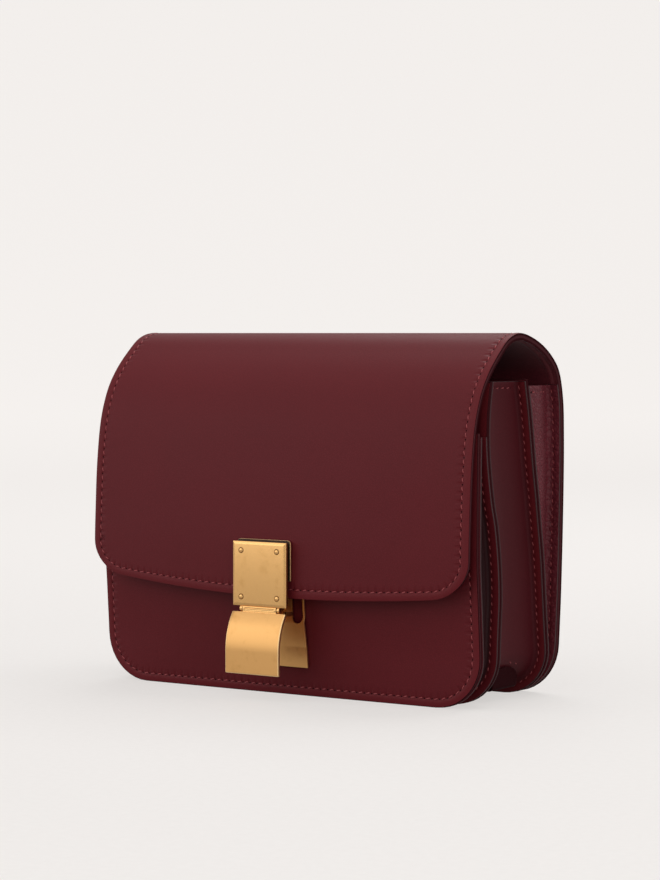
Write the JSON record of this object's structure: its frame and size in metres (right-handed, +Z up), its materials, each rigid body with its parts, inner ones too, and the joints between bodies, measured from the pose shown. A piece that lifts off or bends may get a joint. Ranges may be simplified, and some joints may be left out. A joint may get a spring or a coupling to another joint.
{
  "type": "box bag",
  "caption": "Small structured leather box bag with a full front flap, accordion compartments and a sprung brass pinch clasp.",
  "frame": {"origin": "centre of the bag's bounding box in plan, on the surface that it stands on", "axes": "+X to the right of the bag seen from its front, +Y from the front towards the back, +Z up"},
  "size_m": [0.2, 0.0988, 0.1599],
  "materials": {
    "smooth_calf": "smooth semi-gloss burgundy calf with painted edges",
    "lining_calf": "thin matt burgundy lining calf",
    "grained_calf": "soft fine-grained burgundy leather",
    "gold_brass": "polished gold-coloured brass"
  },
  "bodies": {
    "bag": {"flap_top_and_back": "smooth_calf", "front_panel": "smooth_calf", "front_gusset": "lining_calf", "front_divider": "smooth_calf", "middle_gusset": "smooth_calf", "back_divider": "smooth_calf", "back_gusset": "grained_calf", "clasp_backing_plate": "gold_brass", "clasp_front_plate": "gold_brass", "clasp_pin": "gold_brass", "catch_plate": "gold_brass", "clasp_rivet_upper_left": "gold_brass", "clasp_rivet_upper_right": "gold_brass", "clasp_rivet_lower_left": "gold_brass", "clasp_rivet_lower_right": "gold_brass"},
    "clasp_leaf": {"clasp_lever": "gold_brass"}
  },
  "joints": [
    {"name": "clasp_pinch", "type": "hinge", "parent": "bag", "child": "clasp_leaf", "pos_m": [0, -0.04218, 0.0393], "axis": [1, 0, 0], "range_deg": [0, 20], "stiffness_Nm_per_rad": 0.1, "springref_deg": -5.73}
  ]
}
